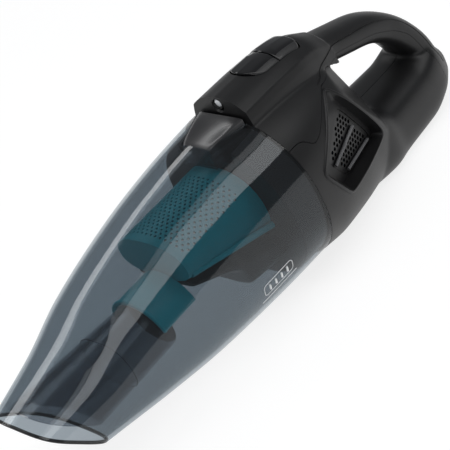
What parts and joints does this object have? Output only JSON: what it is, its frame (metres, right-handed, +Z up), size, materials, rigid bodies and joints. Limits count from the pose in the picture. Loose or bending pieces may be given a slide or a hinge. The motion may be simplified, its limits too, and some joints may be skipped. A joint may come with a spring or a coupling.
{
  "type": "handheld vacuum cleaner",
  "caption": "Cordless handheld vacuum: smoked see-through dust cup with filter cage and inlet duct, black motor housing with loop handle, top buttons and side air vents.",
  "frame": {"origin": "centre of the overall box, on the flat belly", "axes": "+X from the nozzle to the handle's end, +Z up from the belly to the buttons, Y across"},
  "size_m": [0.4212, 0.12, 0.1354],
  "materials": {
    "housing": "fine satin texture",
    "cover": "satin",
    "grille": "satin",
    "inner": "satin",
    "gloss": "polished",
    "smoke": "clear smoked, polished",
    "duct": "dark smoked, polished",
    "teal": "satin",
    "rubber": "matte",
    "paper": "pleated filter paper",
    "steel": "plated",
    "cell": null,
    "board": "solder mask",
    "lens": "clear",
    "nylon": "moulded"
  },
  "bodies": {
    "housing": {"left_housing": "housing", "right_housing": "housing", "top_cover": "cover", "vent_grille_left": "grille", "vent_grille_right": "grille", "front_bulkhead": "inner", "fan_shroud": "nylon", "motor_can": "steel", "motor_mount": "rubber", "battery_cell_1": "cell", "battery_cell_2": "cell", "battery_cell_3": "cell", "battery_cell_4": "cell", "battery_cell_5": "cell", "battery_cell_6": "cell", "battery_cap_front": "nylon", "battery_cap_rear": "nylon", "switch_board": "board", "power_switch": "inner", "turbo_switch": "inner", "control_board": "board", "headlight_lens": "lens", "lamp_board": "board", "charge_jack": "inner", "housing_screw_1": "steel", "housing_screw_2": "steel", "housing_screw_3": "steel"},
    "rotor": {"motor_shaft": "steel", "fan_impeller": "nylon"},
    "power_key": {"power_button": "gloss"},
    "turbo_key": {"turbo_button": "gloss"},
    "cup": {"dust_cup": "smoke", "inlet_duct": "duct", "latch_spring": "steel"},
    "release_key": {"release_button": "gloss"},
    "flap": {"flap_valve": "rubber"},
    "filter": {"filter_collar": "inner", "filter_cage": "teal", "filter_base": "inner", "dust_deflector": "teal", "hepa_filter": "paper", "filter_seal": "rubber"}
  },
  "joints": [
    {"name": "cup_slide", "type": "slide", "parent": "housing", "child": "cup", "axis": [-1, 0, 0], "range_m": [0, 0.24]},
    {"name": "filter_pull", "type": "slide", "parent": "housing", "child": "filter", "axis": [-1, 0, 0], "range_m": [0, 0.096]},
    {"name": "rotor_spin", "type": "hinge", "parent": "housing", "child": "rotor", "pos_m": [0.04427, 0, 0.06], "axis": [1, 0, 0], "continuous": true},
    {"name": "power_press", "type": "slide", "parent": "housing", "child": "power_key", "axis": [0, 0, -1], "range_m": [0, 0.0015], "stiffness_N_per_m": 1200},
    {"name": "turbo_press", "type": "slide", "parent": "housing", "child": "turbo_key", "axis": [0, 0, -1], "range_m": [0, 0.0015], "stiffness_N_per_m": 1200},
    {"name": "release_press", "type": "slide", "parent": "cup", "child": "release_key", "axis": [0, 0, -1], "range_m": [0, 0.0015], "stiffness_N_per_m": 1500, "deforming": ["latch_spring"]},
    {"name": "flap_swing", "type": "hinge", "parent": "cup", "child": "flap", "pos_m": [-0.09473, 0, 0.0665], "axis": [0, -1, 0], "range_deg": [0, 30], "stiffness_Nm_per_rad": 0.02}
  ],
  "couplings": [
    {"joint": "filter_pull", "follows": "cup_slide", "ratio": 0.4}
  ]
}
